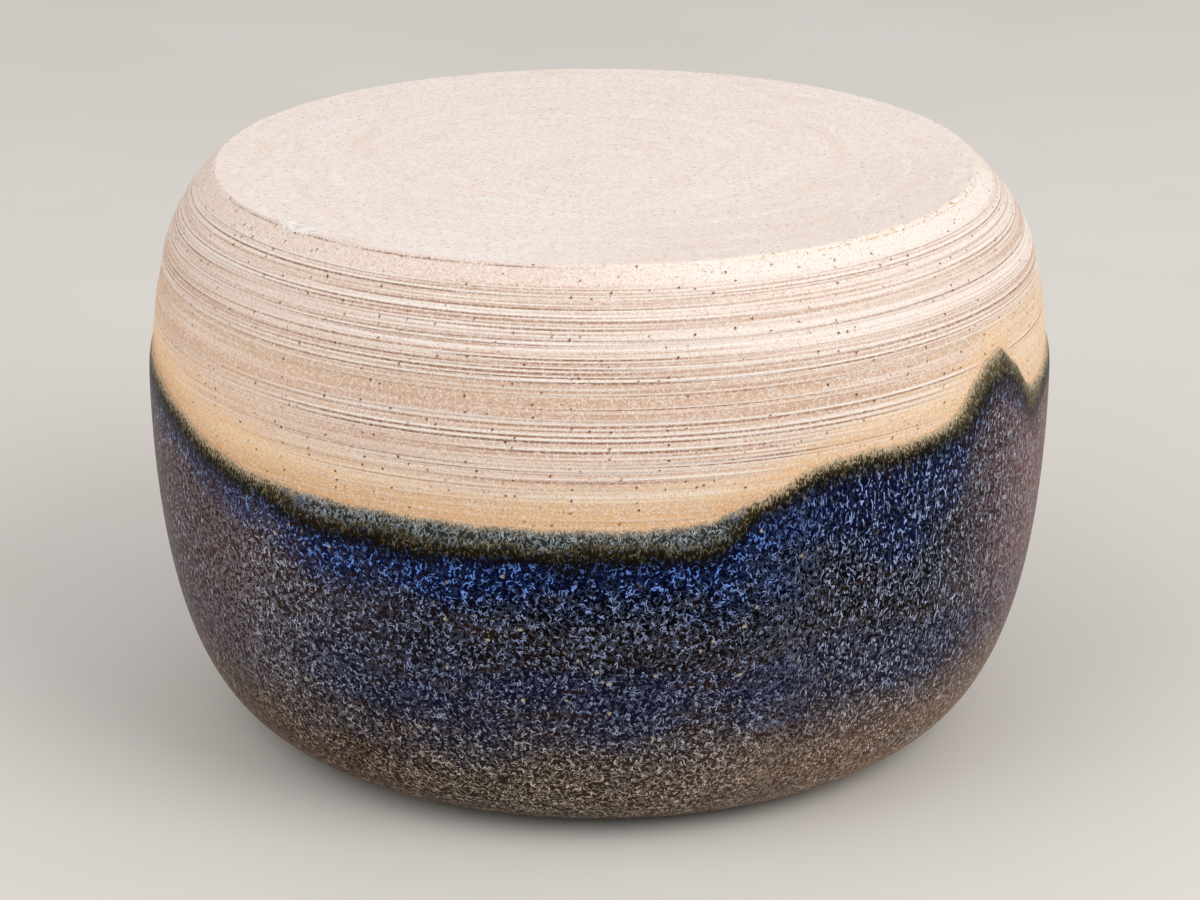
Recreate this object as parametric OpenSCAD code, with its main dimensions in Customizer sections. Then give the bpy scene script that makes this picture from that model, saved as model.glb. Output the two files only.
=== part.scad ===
// Wheel-thrown stoneware sauce pot, standing mouth down on its glazed rim with its bare base up.
// The clay wall is one revolved section. The outside glaze is a thin coat that ends in a wavy dip line,
// and the inside glaze is a poured liner that meets the outside coat at the lip.

/* [Pot] */
// Height from the glazed rim to the flat base
pot_h = 63; // [56:0.5:80]
// Widest diameter of the bare clay wall
belly_d = 99; // [92:0.5:120]
// Height of the widest place above the rim
belly_z = 41.5; // [36:0.5:46]
// Height above the rim at which the side turns in towards the mouth
shoulder_z = 5; // [2:0.5:12]
// Clay thickness of the side wall
wall_t = 4.5; // [3:0.25:7]
// Clay thickness of the base
base_t = 6; // [4:0.25:9]
// Radius of the round corner between the inside wall and the inside of the base
inside_corner_r = 12; // [6:0.5:16]
// Height above the rim at which the inside turns in towards the mouth
inside_shoulder_z = 9; // [6:0.5:14]

/* [Lip] */
// Diameter of the mouth along the crest of the lip
mouth_d = 69.6; // [60:0.2:78]
// Clay thickness of the rounded lip
lip_t = 3.4; // [2.4:0.1:4.4]
// Slope of the underside where it leaves the lip, in degrees from level
lip_slope = 21; // [10:1:40]
// Length over which the outside keeps that slope
lip_reach = 5; // [3:0.5:8]
// Length over which the inside rises straight from the lip
inside_lip_reach = 2; // [1:0.25:4]

/* [Trimmed base] */
// Diameter of the flat base
base_d = 83.4; // [70:0.2:90]
// Height of the trimmed corner, from the ledge up to the base
trim_h = 11.3; // [9:0.1:14]
// How far the wall draws in between the belly and the ledge
wall_draw = 0.95; // [0.4:0.05:2]
// Width of the small ledge that the trimming tool left
ledge_w = 0.3; // [0.1:0.05:0.8]
// Height of the ledge
ledge_h = 0.9; // [0.5:0.1:1.5]
// Slope of the corner where it reaches the base, in degrees from level
corner_slope = 39.5; // [25:0.5:55]
// Length over which the corner keeps that slope
corner_reach = 6.7; // [4:0.1:8]
// Length over which the corner rises straight from the ledge
corner_rise = 1.8; // [1:0.1:4]
// Depth of the turned grooves
groove_d = 0.12; // [0.05:0.01:0.25]
// Number of turned grooves on the wall below the ledge
wall_grooves = 6; // [3:1:9]
// Number of turned grooves on the corner above the ledge
corner_grooves = 9; // [4:1:12]

/* [Glaze] */
// Thickness of the glaze, inside and outside
glaze_t = 0.5; // [0.3:0.05:0.9]
// Height above the rim of the lowest place on the dip line
dip_z = 38; // [30:0.5:42]
// Height of the dip line's peak above its lowest place
dip_rise = 11.2; // [4:0.2:12]

/* [Hidden] */
$fn = 144;

// Steps along each stretch of the section
lip_steps = 6;
lip_end_steps = 2;
shoulder_steps = 18;
inside_steps = 16;
inside_corner_steps = 10;

// Where the clay runs, as radii and heights
belly_r = belly_d / 2;
base_r = base_d / 2;
inside_r = belly_r - wall_t;
floor_z = pot_h - base_t;
lip_r = lip_t / 2;
lip_c = [mouth_d / 2, lip_r + glaze_t];
lip_dir = [cos(lip_slope), sin(lip_slope)];
lip_end = lip_c + lip_r * [sin(lip_slope), -cos(lip_slope)];
lip_inside = lip_c - [lip_r, 0];
belly_p = [belly_r, belly_z];
ledge_p = [belly_r - wall_draw, pot_h - trim_h - ledge_h];
corner_p = ledge_p + [-ledge_w, ledge_h];
base_p = [base_r, pot_h];
base_dir = [cos(corner_slope), -sin(corner_slope)];
inside_corner_c = [inside_r - inside_corner_r, floor_z - inside_corner_r];

// The dip line round the pot: angle from the front, counted to the right seen from the front,
// and height as a share of dip_rise above dip_z. It closes on itself.
DIP_LINE = [
    [-180, 0.36], [-150, 0.49], [-120, 0.56], [-96, 0.52], [-78, 0.46], [-66, 0.34], [-56, 0.17],
    [-45, 0.06], [-24, 0.02], [0, 0], [10, 0.02], [16, 0.13], [22, 0.32], [28, 0.48], [36, 0.49],
    [43, 0.5], [48, 0.6], [52, 0.83], [58, 1], [62, 0.82], [68, 0.46], [76, 0.46], [96, 0.54],
    [125, 0.45], [155, 0.3]
];
// Angle between neighbouring points where the dip line is drawn
dip_step = 2.5;
// How far the space below the dip line reaches past the coat
dip_margin = 5;

// A path is a list of [point, normal] pairs in the half section, each point as [radius, height]
function unit(v) = v / norm(v);

function arc_path(centre, r, from, to, steps, side) = [
    for (i = [0:steps])
        let (a = from + (to - from) * i / steps, dir = [cos(a), sin(a)])
        [centre + r * dir, side * dir]
];

function curve_point(p, u) =
    let (v = 1 - u)
    v * v * v * p[0] + 3 * v * v * u * p[1] + 3 * v * u * u * p[2] + u * u * u * p[3];

function curve_slope(p, u) =
    let (v = 1 - u)
    v * v * (p[1] - p[0]) + 2 * v * u * (p[2] - p[1]) + u * u * (p[3] - p[2]);

function curve_path(p, steps, side) = [
    for (i = [0:steps])
        let (u = i / steps, t = unit(curve_slope(p, u)))
        [curve_point(p, u), side * [t.y, -t.x]]
];

// The points of a path, moved along their normals
function skin(path, d) = [for (q = path) q[0] + d * q[1]];

// The points of a path with every second one sunk, which leaves a row of turned grooves
function grooved(path, d) = [for (i = [0:len(path) - 1]) path[i][0] - (i % 2) * d * path[i][1]];

function after_first(list) = [for (i = [1:len(list) - 1]) list[i]];

function reversed(list) = [for (i = [len(list) - 1:-1:0]) list[i]];

// The outside, from the inner edge of the lip to the edge of the base
lip_path = concat(
    arc_path(lip_c, lip_r, 180, 270, lip_steps, 1),
    after_first(arc_path(lip_c, lip_r, 270, 270 + lip_slope, lip_end_steps, 1))
);
shoulder_path = curve_path(
    [lip_end, lip_end + lip_reach * lip_dir, [belly_r, shoulder_z], belly_p], shoulder_steps, 1
);
wall_mid = [belly_r, (belly_p.y + ledge_p.y) / 2];
wall_path = curve_path([belly_p, (belly_p + 2 * wall_mid) / 3, (ledge_p + 2 * wall_mid) / 3, ledge_p],
    2 * wall_grooves, 1);
corner_path = curve_path(
    [corner_p, corner_p + [0, corner_rise], base_p + corner_reach * base_dir, base_p], 2 * corner_grooves, 1
);
clay_outside = concat(
    skin(lip_path, 0),
    after_first(skin(shoulder_path, 0)),
    after_first(grooved(wall_path, groove_d)),
    grooved(corner_path, groove_d)
);
glaze_outside = concat(
    skin(lip_path, glaze_t),
    after_first(skin(shoulder_path, glaze_t)),
    after_first(skin(wall_path, glaze_t)),
    skin(corner_path, glaze_t)
);

// The inside, from the inner edge of the lip to the middle of the base
inside_wall_top = [inside_r, inside_corner_c.y];
inside_path = concat(
    curve_path(
        [lip_inside, lip_inside + [0, inside_lip_reach], [inside_r, inside_shoulder_z], inside_wall_top],
        inside_steps, -1
    ),
    after_first(arc_path(inside_corner_c, inside_corner_r, 0, 90, inside_corner_steps, -1)),
    [[[0, floor_z], [0, -1]]]
);

// Height of the dip line at an angle: a smooth curve through the points, flat where they level out
function dip_point(i) =
    let (n = len(DIP_LINE), turn = floor(i / n), p = DIP_LINE[i - n * turn])
    [p[0] + 360 * turn, p[1]];

function dip_slope(i) =
    let (a = dip_point(i - 1), b = dip_point(i + 1))
    (b[1] - a[1]) / (b[0] - a[0]);

function dip_share(angle) =
    let (
        i = max([for (k = [0:len(DIP_LINE) - 1]) if (DIP_LINE[k][0] <= angle) k]),
        a = dip_point(i), b = dip_point(i + 1), w = b[0] - a[0], u = (angle - a[0]) / w,
        rise = u * u * (3 - 2 * u)
    )
    a[1] * (1 - rise) + b[1] * rise
        + w * u * (1 - u) * ((1 - u) * dip_slope(i) - u * dip_slope(i + 1));

function dip_height(angle) = dip_z + dip_rise * dip_share(angle);

// Everything below the dip line: a fan that passes through the line at the glazed belly
module below_dip_line() {
    line_r = belly_r + glaze_t;
    rim_r = line_r + dip_margin;
    hub_z = dip_z + dip_rise / 2;
    angles = [for (a = [-180:dip_step:180 - dip_step]) a];
    n = len(angles);
    top = [
        for (a = angles)
            [rim_r * sin(a), -rim_r * cos(a), hub_z + (dip_height(a) - hub_z) * rim_r / line_r]
    ];
    bottom = [for (a = angles) [rim_r * sin(a), -rim_r * cos(a), -dip_margin]];
    hub = 2 * n;
    foot = 2 * n + 1;
    faces = [
        for (i = [0:n - 1])
            let (j = (i + 1) % n)
            each [[hub, j, i], [i, j, n + j], [i, n + j, n + i], [foot, n + i, n + j]]
    ];
    polyhedron(concat(top, bottom, [[0, 0, hub_z], [0, 0, -dip_margin]]), faces);
}

// Thrown and trimmed clay: wall, base and lip in one
module stoneware_body() {
    color("#ead8ca")
        rotate_extrude()
            polygon(concat(clay_outside, [[0, pot_h]], reversed(after_first(skin(inside_path, 0)))));
}

// Dipped coat over the lip and the outside, up to the wavy dip line
module outer_glaze() {
    color("#2c3a63")
        intersection() {
            rotate_extrude()
                polygon(concat(glaze_outside, reversed(clay_outside)));
            below_dip_line();
        }
}

// Poured liner over the whole inside, from the lip to the middle of the base
module inner_glaze() {
    color("#3b4663")
        rotate_extrude()
            polygon(concat(skin(inside_path, 0), reversed(skin(inside_path, glaze_t))));
}

stoneware_body();
outer_glaze();
inner_glaze();
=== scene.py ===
"""Looks of a wheel-thrown stoneware sauce pot that stands mouth down on its rim, with its bare base up.

The clay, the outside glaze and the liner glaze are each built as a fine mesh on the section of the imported
solids, and each has a procedural material. Sizes are millimetres and angles degrees, unless a comment says
otherwise. An angle round the pot counts from the front, to the right as seen from the front.
"""

import math

import bmesh
import bpy
import numpy as np
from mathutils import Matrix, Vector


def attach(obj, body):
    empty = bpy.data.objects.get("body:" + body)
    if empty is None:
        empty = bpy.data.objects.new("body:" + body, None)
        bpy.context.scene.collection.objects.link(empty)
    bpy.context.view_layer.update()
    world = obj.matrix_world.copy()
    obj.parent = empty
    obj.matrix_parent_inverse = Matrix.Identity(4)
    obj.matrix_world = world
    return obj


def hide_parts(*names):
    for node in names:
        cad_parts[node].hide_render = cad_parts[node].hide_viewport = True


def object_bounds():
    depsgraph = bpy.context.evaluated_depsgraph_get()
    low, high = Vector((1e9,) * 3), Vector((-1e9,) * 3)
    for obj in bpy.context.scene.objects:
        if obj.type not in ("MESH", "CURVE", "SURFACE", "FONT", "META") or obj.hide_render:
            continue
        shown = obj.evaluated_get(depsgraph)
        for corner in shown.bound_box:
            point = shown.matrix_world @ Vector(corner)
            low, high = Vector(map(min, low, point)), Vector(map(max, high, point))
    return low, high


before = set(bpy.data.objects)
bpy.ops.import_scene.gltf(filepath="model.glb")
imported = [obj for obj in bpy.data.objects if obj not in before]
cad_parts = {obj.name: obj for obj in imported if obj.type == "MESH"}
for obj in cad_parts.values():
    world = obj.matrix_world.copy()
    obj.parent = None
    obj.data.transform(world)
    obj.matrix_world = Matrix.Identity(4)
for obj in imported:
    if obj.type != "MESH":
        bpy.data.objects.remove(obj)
cad_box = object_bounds()

MM = 0.001

# The section of the pot, as the solids have it
POT_H = cad_box[1].z / MM
GLAZE_T = 0.5
BELLY_R = 49.5
BELLY_Z = 41.5
SHOULDER_Z = 5.0
LIP_CREST_R = 34.8
LIP_R = 1.7
LIP_SLOPE = 21.0
LIP_REACH = 5.0
BASE_R = 41.7
TRIM_H = 11.3
WALL_DRAW = 0.95
LEDGE_W = 0.3
LEDGE_H = 0.9
CORNER_SLOPE = 39.5
CORNER_REACH = 6.7
CORNER_RISE = 1.8
WALL_T = 4.5
BASE_T = 6.0
INSIDE_CORNER_R = 12.0
INSIDE_SHOULDER_Z = 9.0
INSIDE_LIP_REACH = 2.0

# The dip line: angle round the pot, and height as a share of DIP_RISE above DIP_Z
DIP_Z = 38.0
DIP_RISE = 11.2
DIP_LINE = [
    (-180, 0.36), (-150, 0.49), (-120, 0.56), (-96, 0.52), (-78, 0.46), (-66, 0.34), (-56, 0.17),
    (-45, 0.06), (-24, 0.02), (0, 0), (10, 0.02), (16, 0.13), (22, 0.32), (28, 0.48), (36, 0.49),
    (43, 0.5), (48, 0.6), (52, 0.83), (58, 1), (62, 0.82), (68, 0.46), (76, 0.46), (96, 0.54),
    (125, 0.45), (155, 0.3),
]
# The thin tip in which the peak of the run edge ends: its angle, height and reach to each side
TIP_AT = 59.0
TIP_H = 0.5
TIP_REACH = 1.1
# How far the run edge strays from the dip line, in fine and in broad waves
FINE_RUN = 0.05
BROAD_RUN = 0.08
# The pale roll along the edge: angles over which it starts and ends
ROLL_START = (-47, -32)
ROLL_END = (14, 19)

# Step along the lines of the section, and the reach over which their corners are softened
PATH_STEP = 0.02
EDGE_SOFTNESS = 0.09
# Steps of the clay's rings on the wall and on the corner, and segments round the two coats
WALL_STEP = 0.115
CORNER_STEP = 0.07
GLAZE_SEGMENTS = 800
LINER_SEGMENTS = 240
# How far the clay lies back under the glaze, and how far a coat's back reaches into the clay
CLAY_SINK = 0.06
SEAT = 0.12


# Lines in the half section, as rows of radius and height
def direction(angle):
    a = np.radians(angle)
    return np.array([np.cos(a), np.sin(a)])


def arc(centre, radius, start, end, steps=60):
    return np.array([centre + radius * direction(a) for a in np.linspace(start, end, steps)])


def bezier(p0, p1, p2, p3, steps=200):
    u = np.linspace(0, 1, steps)[:, None]
    v = 1 - u
    return v**3 * p0 + 3 * v * v * u * p1 + 3 * v * u * u * p2 + u**3 * p3


def outside_points():
    """The clay from the inner edge of the lip, over the outside and the base, to the axis."""
    lip_c = np.array([LIP_CREST_R, LIP_R + GLAZE_T])
    lip_end = lip_c + LIP_R * direction(LIP_SLOPE - 90)
    shoulder = np.array([BELLY_R, SHOULDER_Z])
    belly = np.array([BELLY_R, BELLY_Z])
    ledge = np.array([BELLY_R - WALL_DRAW, POT_H - TRIM_H - LEDGE_H])
    middle = np.array([BELLY_R, (BELLY_Z + ledge[1]) / 2])
    corner = ledge + [-LEDGE_W, LEDGE_H]
    edge = np.array([BASE_R, POT_H])
    return np.concatenate([
        arc(lip_c, LIP_R, 180, 270 + LIP_SLOPE),
        bezier(lip_end, lip_end + LIP_REACH * direction(LIP_SLOPE), shoulder, belly)[1:],
        bezier(belly, (belly + 2 * middle) / 3, (ledge + 2 * middle) / 3, ledge)[1:],
        bezier(corner, corner + [0, CORNER_RISE], edge + CORNER_REACH * direction(-CORNER_SLOPE), edge),
        [[0.0, POT_H]],
    ])


def inside_points():
    """The clay from the inner edge of the lip, over the inside wall, to the middle of the inside."""
    lip = np.array([LIP_CREST_R - LIP_R, LIP_R + GLAZE_T])
    radius = BELLY_R - WALL_T
    floor = POT_H - BASE_T
    corner = np.array([radius - INSIDE_CORNER_R, floor - INSIDE_CORNER_R])
    top = np.array([radius, corner[1]])
    return np.concatenate([
        bezier(lip, lip + [0, INSIDE_LIP_REACH], np.array([radius, INSIDE_SHOULDER_Z]), top),
        arc(corner, INSIDE_CORNER_R, 0, 90)[1:],
        [[0.0, floor]],
    ])


class Path:
    """A line in the half section that is read by the length along it. side is 1 where its left is clay."""

    def __init__(self, points, side):
        steps = np.linalg.norm(np.diff(points, axis=0), axis=1)
        length = np.concatenate([[0], np.cumsum(steps)])
        self.end = length[-1]
        self.s = np.linspace(0, self.end, int(self.end / PATH_STEP))
        even = np.stack([np.interp(self.s, length, points[:, i]) for i in (0, 1)], axis=1)
        reach = int(4 * EDGE_SOFTNESS / PATH_STEP)
        weight = np.exp(-0.5 * (np.arange(-reach, reach + 1) * PATH_STEP / EDGE_SOFTNESS) ** 2)
        weight /= weight.sum()
        self.points = even.copy()
        for i in (0, 1):
            self.points[reach:-reach, i] = np.convolve(even[:, i], weight, "valid")
        slope = np.gradient(self.points, self.s, axis=0)
        slope /= np.linalg.norm(slope, axis=1, keepdims=True)
        self.normals = side * np.stack([slope[:, 1], -slope[:, 0]], axis=1)

    def at(self, s, out=0.0):
        """Radius and height at length s, moved out along the normal."""
        place = [np.interp(s, self.s, self.points[:, i]) for i in (0, 1)]
        normal = [np.interp(s, self.s, self.normals[:, i]) for i in (0, 1)]
        return place[0] + out * normal[0], place[1] + out * normal[1]

    def length_at(self, height):
        """The length at which the outside reaches a height, past the lip and below the base."""
        rising = (self.s > self.points[:, 1].argmin() * PATH_STEP) & (self.points[:, 1] < POT_H - PATH_STEP)
        return np.interp(height, self.points[rising, 1], self.s[rising])


outside = Path(outside_points(), 1)
inside = Path(inside_points(), -1)
S_EDGE = outside.end - BASE_R
S_LEDGE = outside.length_at(POT_H - TRIM_H)
S_LEVEL = outside.length_at(DIP_Z)


# Forms that follow the angle round the pot
def smooth_step(value, low, high):
    u = np.clip((value - low) / (high - low), 0, 1)
    return u * u * (3 - 2 * u)


def turned(angle):
    """The angle brought into -180 to 180."""
    return (angle + 180) % 360 - 180


def waves(angle, seed, first, last, count):
    """A smooth line round the pot that closes on itself, mostly between -1 and 1.

    It is a sum of count sines, each of which has first to last waves round the pot.
    """
    rng = np.random.default_rng(seed)
    total = 0
    for _ in range(count):
        number = rng.integers(first, last + 1)
        total = total + np.sin(np.radians(number * angle + rng.uniform(0, 360)))
    return total / math.sqrt(count)


def curve_round(points, angle):
    """A smooth curve through points of angle and value that closes on itself, read at an angle."""
    at, value = np.array(points, float).T
    at = np.concatenate([at[-2:] - 360, at, at[:3] + 360])
    value = np.concatenate([value[-2:], value, value[:3]])
    slope = np.zeros_like(value)
    slope[1:-1] = (value[2:] - value[:-2]) / (at[2:] - at[:-2])
    angle = turned(angle)
    i = np.searchsorted(at, angle, side="right") - 1
    width = at[i + 1] - at[i]
    u = (angle - at[i]) / width
    rise = u * u * (3 - 2 * u)
    ease = width * u * (1 - u) * ((1 - u) * slope[i] - u * slope[i + 1])
    return value[i] * (1 - rise) + value[i + 1] * rise + ease


def dip_length(angle):
    """Length along the outside at which the glaze ends: the solids' dip line, with a run edge's detail."""
    line = outside.length_at(DIP_Z + DIP_RISE * curve_round(DIP_LINE, angle))
    fine = FINE_RUN * waves(angle, seed=5, first=70, last=160, count=8)
    broad = BROAD_RUN * waves(angle, seed=6, first=25, last=60, count=6)
    run = fine + broad
    tip = TIP_H * np.exp(-np.abs(turned(angle - TIP_AT)) / TIP_REACH)
    return line + run + tip


def thick_roll(angle):
    """1 where the glaze has pooled in a pale roll along its edge, and 0 elsewhere."""
    return smooth_step(angle, *ROLL_START) * (1 - smooth_step(angle, *ROLL_END))


# Meshes made of rings round the axis
# Margin of the bake's map, and the least room that a ring gets on it
MAP_MARGIN = 0.004
MAP_LEAST = 1e-3
# Points closer than this are one, and edges shorter than this go, in metres
WELD_REACH = 1e-7
FLAT_EDGE = 1e-8


def lathe(name, x, y, z, values, shares, closed=False):
    """A mesh from rings, as arrays of rings by columns in millimetres.

    A closed one joins its last ring to its first. Otherwise the first and last ring each shrink to a point.
    values are the numbers that the material reads. shares are each ring's place across the bake's map, on
    which the two halves of the pot lie one above the other.
    """
    rings, columns = x.shape
    points = np.stack([x, y, z], axis=2).reshape(-1, 3) * MM
    ring, column = np.meshgrid(np.arange(rings if closed else rings - 1), np.arange(columns), indexing="ij")
    beside = (column + 1) % columns
    above = (ring + 1) % rings
    corners = [
        ring * columns + column, ring * columns + beside, above * columns + beside, above * columns + column,
    ]
    quads = np.stack(corners, axis=2).reshape(-1, 4)
    half = (columns + 1) // 2
    across = np.stack([column, column + 1, column + 1, column], axis=2) - (column // half * half)[:, :, None]
    share = np.stack([shares[ring], shares[ring], shares[ring + 1], shares[ring + 1]], axis=2)
    u = MAP_MARGIN + (1 - 2 * MAP_MARGIN) * across / half
    v = (column // half)[:, :, None] / 2 + MAP_MARGIN + (0.5 - 2 * MAP_MARGIN) * share
    mesh = bpy.data.meshes.new(name)
    mesh.from_pydata(points.tolist(), [], quads.tolist())
    layer = mesh.uv_layers.new(name="OFBake")
    layer.uv.foreach_set("vector", np.stack([u, v], axis=3).astype(np.float32).ravel())
    for key, grid in values.items():
        data = np.broadcast_to(grid, x.shape).astype(np.float32).ravel()
        mesh.attributes.new(key, "FLOAT", "POINT").data.foreach_set("value", data)
    mesh.shade_smooth()
    piece = bpy.data.objects.new(name, mesh)
    bpy.context.scene.collection.objects.link(piece)
    return piece


def round_places(radius, height, angle):
    """Places of points at an angle round the pot, as x, y and z."""
    a = np.radians(angle)
    return radius * np.sin(a), -radius * np.cos(a), np.broadcast_to(height, np.broadcast(radius, a).shape)


def weld_ends(piece):
    """Joins the points of a ring that has shrunk to one place."""
    made = bmesh.new()
    made.from_mesh(piece.data)
    bmesh.ops.remove_doubles(made, verts=made.verts, dist=WELD_REACH)
    bmesh.ops.dissolve_degenerate(made, edges=made.edges, dist=FLAT_EDGE)
    made.to_mesh(piece.data)
    made.free()


def cumulative_share(ring_length, weight):
    """Places from 0 to 1 for rings, each stretch as long as its length times its weight."""
    step = np.abs(np.diff(ring_length)) * weight + MAP_LEAST
    place = np.concatenate([[0], np.cumsum(step)])
    return place / place[-1]


# The clay
# Rings of the hidden inside, of the clay under the glaze and of the base, which crowd towards its edge
HIDDEN_RINGS = 36
UNDER_RINGS = 12
DISC_RINGS = 15
DISC_CROWDING = 1.3
# Where the close rings start below the dip line and the ledge, how far they reach over the base's edge, and
# where the base's own rings start
CLOSE_BELOW_DIP = 1.5
CLOSE_BELOW_LEDGE = 1.2
CLOSE_PAST_EDGE = 1.2
DISC_FROM = 1.25
# The clay further below the dip line than this gets less room on the bake's map
UNSEEN_BELOW = 2
UNSEEN_WEIGHT = 0.1
# Length over which the clay rises from under the glaze, and over which a change above the ledge is complete
BARE_REACH = 0.9
LEDGE_BLEND = 3
# How far lumps on the base's edge may stand above the base
EDGE_PROUD = 0.1
# Stretches with turned grooves: start and end along the outside, least and most spacing, and depth
GROOVE_STRETCHES = [
    (S_LEVEL - 1.0, S_LEDGE - 2.4, 0.25, 0.65, 0.1),
    (S_LEDGE - 2.0, S_LEDGE + 1.2, 0.3, 0.65, 0.08),
    (S_LEDGE + 1.2, S_EDGE - 2.6, 0.2, 0.5, 0.1),
]
GROOVE_SEED = 11
# Least and most half width of a groove, and of its share of the depth, and how far it sways
GROOVE_W = (0.06, 0.15)
GROOVE_SHARE = (0.25, 1.0)
GROOVE_SWAY = 0.03
# Mean, swing and limits of a groove's depth round the pot
FADE_MEAN = 0.8
FADE_SWING = 0.4
FADE_LIMITS = (0.1, 1.3)
# The ridge beside each groove: its distance in half widths, and its height as a share of the depth
RIDGE_AT = 1.8
RIDGE_H = 0.8
# Share of the depth that grooves have next to the glaze, and where in the toasting they reach the full one
DEPTH_AT_GLAZE = 0.4
DEPTH_GROWS = (0.3, 1.0)
# How much shallower grooves are on the corner at the burr, and at the left on the wall and on the corner
SOFT_AT_BURR = 0.5
SOFT_LEFT_WALL = 0.6
SOFT_LEFT_CORNER = 0.3
# Angles to the left over which that sets in
LEFT_START = (25, 55)
# How far the base's edge lies off the axis, to the right and to the back
BASE_OFFSET = (-0.4, 0.25)
# Stretches of columns round the pot: start, end and step. They are close where the base's edge is chipped.
COLUMN_STRETCHES = [(-180, -56, 2.0), (-56, -40, 0.4), (-40, 92, 1.4), (92, 180, 2.0)]
# Chips in the base's edge: angles from and to, reach inwards, height of their lumps, number of lumps and seed
CHIPS = [(-52.0, -43.5, 1.6, 0.2, 80, 3), (64.0, 67.0, 0.5, 0.1, 10, 4), (76.0, 79.0, 0.5, 0.1, 10, 8)]
# Least and most width of a lump in a chip, and of its height as a share of the chip's
LUMP_W = (0.14, 0.3)
LUMP_SHARE = (-1.0, 0.8)
# Middle and half size of a chip along the outside, past the edge and as shares of its reach
CHIP_MIDDLE = 0.2
CHIP_HALF = 0.6
# The burr on the base's edge: angles over which it starts and ends, and its reach along the outside
BURR_START = (-12, 20)
BURR_END = (80, 100)
BURR_REACH = 0.4
# A weaker burr on the left, which only the material shows
LEFT_BURR = 0.6
LEFT_BURR_START = (-150, -120)
LEFT_BURR_END = (-66, -58)
# Lengths past the base's edge over which the base's painted shade and the cream clay at the burr, which is
# partly painted light, start and end
DISC_SHADE_START = (0, 0.6)
DISC_SHADE_END = (2, 24)
CREAM_START = (-3.4, -2.2)
CREAM_END = (0, 0.1)
# How ragged the base's edge is all round, how much more near the front and at the burr, and its reach
RAGGED = 0.015
RAGGED_FRONT = 0.035
RAGGED_BURR = 0.08
RAGGED_REACH = 0.3
# The middle of that front, and the angles to each side over which it ends
RAGGED_AT = 20
RAGGED_END = (70, 90)
# The crack's distance below the edge, how far it sways, and its half width and depth
CRACK_BELOW = 0.42
CRACK_SWAY = 0.06
CRACK_W = 0.09
CRACK_DEPTH = 0.1
# Mean, swing and limits of its strength
CRACK_MEAN = 0.9
CRACK_SWING = 0.3
CRACK_LIMITS = (0.4, 1)
# Stretches of the crack under the base's edge: angles where it starts, is strong from and to, and ends
CRACKS = [(-68.0, -64.0, -54.0, -50.0), (-46.0, -44.0, -16.0, 4.0), (4.0, 40.0, 50.0, 95.0)]
# How high the toasting next to the glaze reaches, by angle round the pot
TOAST_TOP = [
    (-180, 47.0), (-120, 49.5), (-80, 48.5), (-60, 46.5), (-40, 44.0), (0, 42.6), (18, 44.5), (30, 47.6),
    (45, 49.8), (60, 52.4), (75, 53.0), (100, 51.0), (140, 48.5),
]


def groove_relief(s, angle):
    """How far the lines of the trimming tool stand out from the smooth clay."""
    rng = np.random.default_rng(GROOVE_SEED)
    relief = np.zeros(np.broadcast(s, angle).shape)
    for start, end, least, most, depth in GROOVE_STRETCHES:
        at = start
        while at < end:
            width = rng.uniform(*GROOVE_W)
            deep = depth * rng.uniform(*GROOVE_SHARE)
            seed = int(rng.integers(1 << 30))
            sway = GROOVE_SWAY * waves(angle, seed, first=1, last=3, count=3)
            fade = FADE_MEAN + FADE_SWING * waves(angle, seed + 1, first=1, last=6, count=4)
            fade = np.clip(fade, *FADE_LIMITS)
            x = (s - at - sway) / width
            relief += deep * fade * (RIDGE_H * np.exp(-((x - RIDGE_AT) ** 2)) - np.exp(-x * x))
            at += rng.uniform(least, most)
    return relief


def chip_relief(s, angle):
    """Lumps and hollows of the chips, and how much of each place is chipped."""
    relief = np.zeros(np.broadcast(s, angle).shape)
    chipped = np.zeros_like(relief)
    for start, end, reach, lump_h, lumps, seed in CHIPS:
        rng = np.random.default_rng(seed)
        for _ in range(lumps):
            turn = rng.uniform(0, 2 * np.pi)
            out = math.sqrt(rng.uniform())
            at_angle = (start + end) / 2 + (end - start) / 2 * out * math.cos(turn)
            at_s = S_EDGE + (CHIP_MIDDLE + CHIP_HALF * out * math.sin(turn)) * reach
            width = rng.uniform(*LUMP_W)
            away = (np.radians(angle - at_angle) * BASE_R) ** 2 + (s - at_s) ** 2
            lump = np.exp(-away / width**2)
            relief += lump_h * rng.uniform(*LUMP_SHARE) * lump
            chipped += lump
    return relief, np.clip(chipped, 0, 1)


def crack_strength(angle):
    """How strongly the crack under the base's edge shows at an angle."""
    strength = np.zeros_like(angle, dtype=float)
    for start, strong_from, strong_to, end in CRACKS:
        fall = 1 - smooth_step(angle, strong_to, end)
        strength = strength + smooth_step(angle, start, strong_from) * fall
    uneven = CRACK_MEAN + CRACK_SWING * waves(angle, seed=33, first=8, last=40, count=6)
    return strength * np.clip(uneven, *CRACK_LIMITS)


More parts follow.
